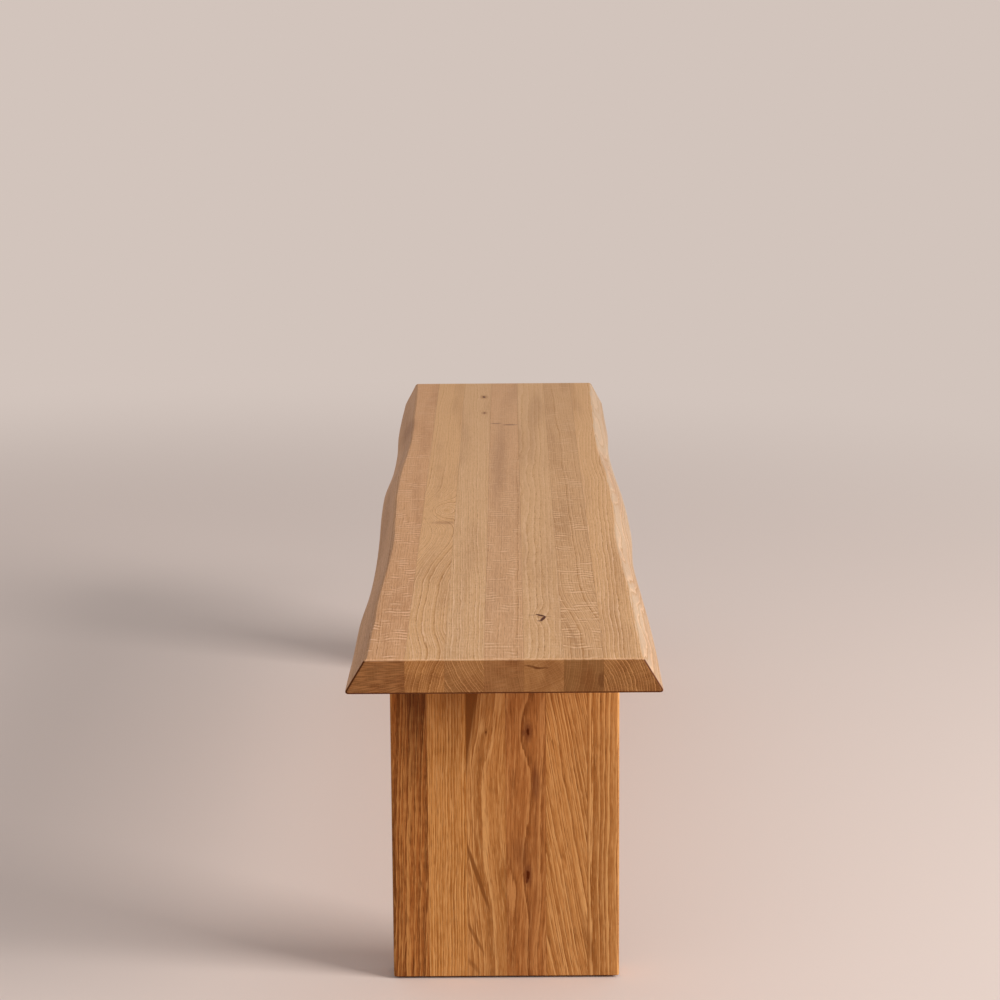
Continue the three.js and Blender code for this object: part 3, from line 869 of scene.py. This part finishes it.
# The four outer corners rounded, the slots and holes cut, then every sharp edge worn a little
pick(bracket, "EDGE", lambda line: (at(line, 0, bracket_low.x) or at(line, 0, bracket_high.x))
     and ((at(line, 1, bracket_high.y) and rises(line) > touch)
          or (at(line, 2, leg_flange_end) and runs(line) > touch)))
bpy.ops.mesh.bevel(offset=plate_corner, segments=corner_segments, affect="EDGES")
done()
for column in (-outer_column, -inner_column):
    below = (column, -seat_bolt_row, seat_bearing - plate)
    above = (column, -seat_bolt_row, underside + plate)
    slot = rod("slot", bolt_hole, below, above, hole_sides)
    for hand in (-1, 1):
        pick(slot, "VERT", lambda corner: hand * (corner[0].x - column) > touch)
        bpy.ops.transform.translate(value=(hand * slot_half_travel, 0, 0))
        done()
    cut_away(bracket, slot)
for height in (upper_bolt, lower_bolt):
    behind = (-leg_column, -leg_inner_face - plate, height)
    before = (-leg_column, -leg_bearing + plate, height)
    cut_away(bracket, rod("hole", bolt_hole, behind, before, hole_sides))
worn = bracket.modifiers.new("worn", "BEVEL")
worn.width = worn_edge
worn.segments = worn_segments
worn.limit_method = "ANGLE"
worn.angle_limit = radians(sharp_angle)
take(bracket)
bpy.ops.object.modifier_apply(modifier=worn.name)
smooth(bracket)
bracket.data.materials.append(powder_coat())

brackets = {
    "near_left": bracket,
    "near_right": place_copy(bracket, "steel_bracket_near_right", shift=(2 * leg_column, 0, 0)),
    "far_right": place_copy(bracket, "steel_bracket_far_right", turn=(0, 0, 180)),
}
brackets["far_left"] = place_copy(brackets["near_right"], "steel_bracket_far_left", turn=(0, 0, 180))
for corner, piece in brackets.items():
    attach(piece, "root")
    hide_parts(f"{corner}_bracket")


# Bolts
# Sixteen M8 x 20 machine screws with a flanged button head and a hexagon socket, bright zinc plated.
# Each bracket takes two up into the seat and two level into the leg.
thread_radius = 0.004
thread_root = 0.85
thread_turns = 15
shank_length = 0.019
tip_length = 0.001
tip_share = 0.75
flange_radius = 0.00875
flange_thickness = 0.0012
button_radii = (0.0065, 0.0064, 0.0059, 0.0050, 0.0038, 0.0034)
button_heights = (0.0012, 0.0020, 0.0029, 0.0037, 0.0042, 0.0044)
socket_across = 0.005
socket_depth = 0.0026
socket_sides = 6
bolt_sides = 48
metal_angle = 35
tarnish_cells = (220, 220)
turning_cells = (2600, 700)


def plated(name, bright, dull, rough):
    """Zinc plating: soft cloudy patches and very fine turning marks."""
    material, tree, shader = new_material(name)
    where = tree.nodes.new("ShaderNodeTexCoord")
    here = where.outputs["Object"]
    cloud = pattern(tree, here, tarnish_cells, 4, 0.6)
    marks = pattern(tree, here, turning_cells, 3, 0.6)
    colour = mix(tree, step(tree, cloud, 0.3, 0.7), paint(bright), paint(dull))
    tree.links.new(colour, shader.inputs["Base Color"])
    shader.inputs["Metallic"].default_value = 1.0
    tree.links.new(calc(tree, "MULTIPLY_ADD", cloud, 0.22, rough), shader.inputs["Roughness"])
    tree.links.new(add(tree, "Bump", 0.25, 0.00004, None, marks), shader.inputs["Normal"])
    return material


def widen(share):
    """Widens or narrows what is selected about the upright axis through the middle of the floor."""
    bpy.ops.transform.resize(value=(share, share, 1), center_override=(0, 0, 0))


def cut_thread(piece, length, rows, first, root):
    """Cuts the long edges of a rod into rows, and narrows every second one to the root of the thread."""
    pick(piece, "EDGE", lambda line: rises(line) > length / 2)
    bpy.ops.mesh.subdivide(number_cuts=rows - 1)
    done()
    for row in range(first, rows, 2):
        pick(piece, "VERT", lambda corner: at(corner, 2, row * length / rows))
        widen(root)
        done()


# The shank with its tip, the flange and the button head drawn out under it, the thread and the socket
bolt = rod("bolt", thread_radius, (0, 0, 0), (0, 0, shank_length), bolt_sides)
pick(bolt, "FACE", lambda face: at(face, 2, shank_length))
bpy.ops.mesh.extrude_region_move(TRANSFORM_OT_translate={"value": (0, 0, tip_length)})
widen(tip_share)
done()
pick(bolt, "FACE", lambda face: at(face, 2, 0))
width, height = thread_radius, 0
head_radii = (flange_radius, flange_radius, *button_radii)
head_heights = (0, flange_thickness, *button_heights)
for next_width, next_height in zip(head_radii, head_heights):
    bpy.ops.mesh.extrude_region_move(TRANSFORM_OT_translate={"value": (0, 0, height - next_height)})
    widen(next_width / width)
    width, height = next_width, next_height
done()
cut_thread(bolt, shank_length, 2 * thread_turns, 1, thread_root)
head_end = -head_heights[-1]
mouth, bottom = (0, 0, head_end - tip_length), (0, 0, head_end + socket_depth)
cut_away(bolt, rod("socket", socket_across / sqrt(3), mouth, bottom, socket_sides))
smooth(bolt, metal_angle)
bolt.data.materials.append(plated("bright_zinc", "c9ccce", "b3b7ba", 0.22))


# Threaded inserts
# Sixteen steel sleeves with a coarse wood thread outside, yellow zinc plated, screwed into the staves
# flush with their faces: the bolts turn in them.
insert_radius = 0.006
insert_bore = 0.0043
insert_length = 0.020
insert_ridges = 7
insert_root = 0.88
insert_sides = 40

insert = rod("insert", insert_radius, (0, 0, 0), (0, 0, insert_length), insert_sides)
cut_thread(insert, insert_length, 2 * insert_ridges + 2, 2, insert_root)
mouth, bottom = (0, 0, -tip_length), (0, 0, insert_length + tip_length)
cut_away(insert, rod("bore", insert_bore, mouth, bottom, insert_sides))
smooth(insert, metal_angle)
insert.data.materials.append(plated("yellow_zinc", "c9ab5c", "b08c45", 0.30))

for end, side in (("near", -1), ("far", 1)):
    for hand, across in (("left", -1), ("right", 1)):
        fixings = []
        for spot, column in (("seat_outer", outer_column), ("seat_inner", inner_column)):
            bearing = (across * column, side * seat_bolt_row, seat_bearing)
            mouth = (across * column, side * seat_bolt_row, underside)
            fixings.append((spot, bearing, mouth, (0, 0, 0)))
        for spot, height in (("leg_upper", upper_bolt), ("leg_lower", lower_bolt)):
            bearing = (across * leg_column, side * leg_bearing, height)
            mouth = (across * leg_column, side * leg_inner_face, height)
            fixings.append((spot, bearing, mouth, (side * -90, 0, 0)))
        for spot, bearing, mouth, turn in fixings:
            name = f"{end}_{hand}_{spot}"
            for piece, kind, place in ((bolt, "bolt", bearing), (insert, "insert", mouth)):
                made = place_copy(piece, f"zinc_{name}_{kind}", shift=place, turn=turn)
                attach(made, "root")
                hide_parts(f"{name}_{kind}")
bpy.data.objects.remove(bolt)
bpy.data.objects.remove(insert)


# Felt pads
# Four round pads of pressed grey wool felt, glued under the corners of the leg boards so that the bench
# stands clear of the floor.
pad_radius = 0.014
pad_thickness = 0.0025
pad_edge = 0.0006
pad_edge_segments = 3
pad_sides = 64
pad_column, pad_row = 0.100, 0.680
mat_cells = 900.0
tuft_cells = (240, 240)


def felt():
    """Pressed wool: matted fibres in several greys, with a soft nap."""
    material, tree, shader = new_material("grey_felt")
    where = tree.nodes.new("ShaderNodeTexCoord")
    here = where.outputs["Object"]
    mat = add(tree, "TexNoise", here, mat_cells, 5.0, 0.7, 2.0, 1.5)
    tuft = pattern(tree, here, tuft_cells, 3, 0.6)
    colour = mix(tree, step(tree, mat, 0.35, 0.65), paint("5a5856"), paint("837f7b"))
    colour = mix(tree, step(tree, tuft, 0.45, 0.7, 0.0, 0.5), colour, paint("6b6865"))
    tree.links.new(colour, shader.inputs["Base Color"])
    shader.inputs["Roughness"].default_value = 0.95
    shader.inputs["Sheen Weight"].default_value = 0.4
    tree.links.new(add(tree, "Bump", 0.8, 0.0003, None, mat), shader.inputs["Normal"])
    return material


bottom, top = (-pad_column, -pad_row, 0), (-pad_column, -pad_row, pad_thickness)
pad = rod("felt_pad_near_left", pad_radius, bottom, top, pad_sides)
pick(pad, "EDGE", lambda line: at(line, 2, 0) or at(line, 2, pad_thickness))
bpy.ops.mesh.bevel(offset=pad_edge, segments=pad_edge_segments, affect="EDGES")
done()
smooth(pad)
pad.data.materials.append(felt())
pads = {
    "near_left": pad,
    "near_right": place_copy(pad, "felt_pad_near_right", shift=(2 * pad_column, 0, 0)),
    "far_left": place_copy(pad, "felt_pad_far_left", shift=(0, 2 * pad_row, 0)),
    "far_right": place_copy(pad, "felt_pad_far_right", shift=(2 * pad_column, 2 * pad_row, 0)),
}
for corner, piece in pads.items():
    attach(piece, "root")
    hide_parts(f"{corner}_pad")


# Floor and light
# A plain pale floor that fades into an even pale background. One broad lamp on the right, a little in
# front of the bench, throws the soft shade to the left, and an even white light fills in from all round.
floor_size = 60
pale = paint("d2c4bc")
chalk = paint("e4d3cb")
fade_centre = (-0.6, 0.4, 0)
fade_start, fade_end = 1.4, 3.2
lamp_target = Vector((0, 0, 0.3))
lamp_way = Vector((0.807, -0.429, 0.407)).normalized()
lamp_distance = 6.0
lamp_size = 2.5
lamp_power = 355
lamp_colour = (1.0, 0.97, 0.93)
fill_strength = 0.45


def looked_at(tree):
    """1 for rays that show a thing (camera, glossy, through glass), 0 for those that only bring light."""
    path = tree.nodes.new("ShaderNodeLightPath").outputs
    return highest(tree, (path["Is Camera Ray"], path["Is Glossy Ray"], path["Is Transmission Ray"]))


bpy.ops.object.select_all(action="DESELECT")
bpy.ops.mesh.primitive_plane_add(size=floor_size)
floor = bpy.context.object
floor.name = "floor"
material, tree, shader = new_material("pale_floor")
shader.inputs["Base Color"].default_value = chalk
shader.inputs["Roughness"].default_value = 0.8
here = tree.nodes.new("ShaderNodeTexCoord").outputs["Object"]
apart = vector(tree, "LENGTH", vector(tree, "SUBTRACT", here, fade_centre))
away = times(tree, step(tree, apart, fade_start, fade_end), looked_at(tree))
blend = add(tree, "MixShader", away, shader.outputs[0], add(tree, "Emission", pale))
tree.links.new(blend, tree.nodes["Material Output"].inputs["Surface"])
floor.data.materials.append(material)

bpy.ops.object.light_add(type="AREA", location=lamp_target + lamp_way * lamp_distance)
lamp = bpy.context.object
lamp.name = "window_light"
lamp.data.shape = "RECTANGLE"
lamp.data.size = lamp.data.size_y = lamp_size
lamp.data.energy = lamp_power
lamp.data.color = lamp_colour
lamp.rotation_euler = lamp_way.to_track_quat("Z", "Y").to_euler()

world = bpy.data.worlds.new("studio")
bpy.context.scene.world = world
world.use_nodes = True
sky = world.node_tree
fill = sky.nodes["Background"]
fill.inputs["Color"].default_value = (1, 1, 1, 1)
fill.inputs["Strength"].default_value = fill_strength
blend = add(sky, "MixShader", looked_at(sky), fill.outputs[0], add(sky, "Background", pale, 1.0))
sky.links.new(blend, sky.nodes["World Output"].inputs["Surface"])

bpy.context.scene.view_settings.view_transform = "Standard"


# Update
# The scene is brought up to date.
bpy.context.view_layer.update()
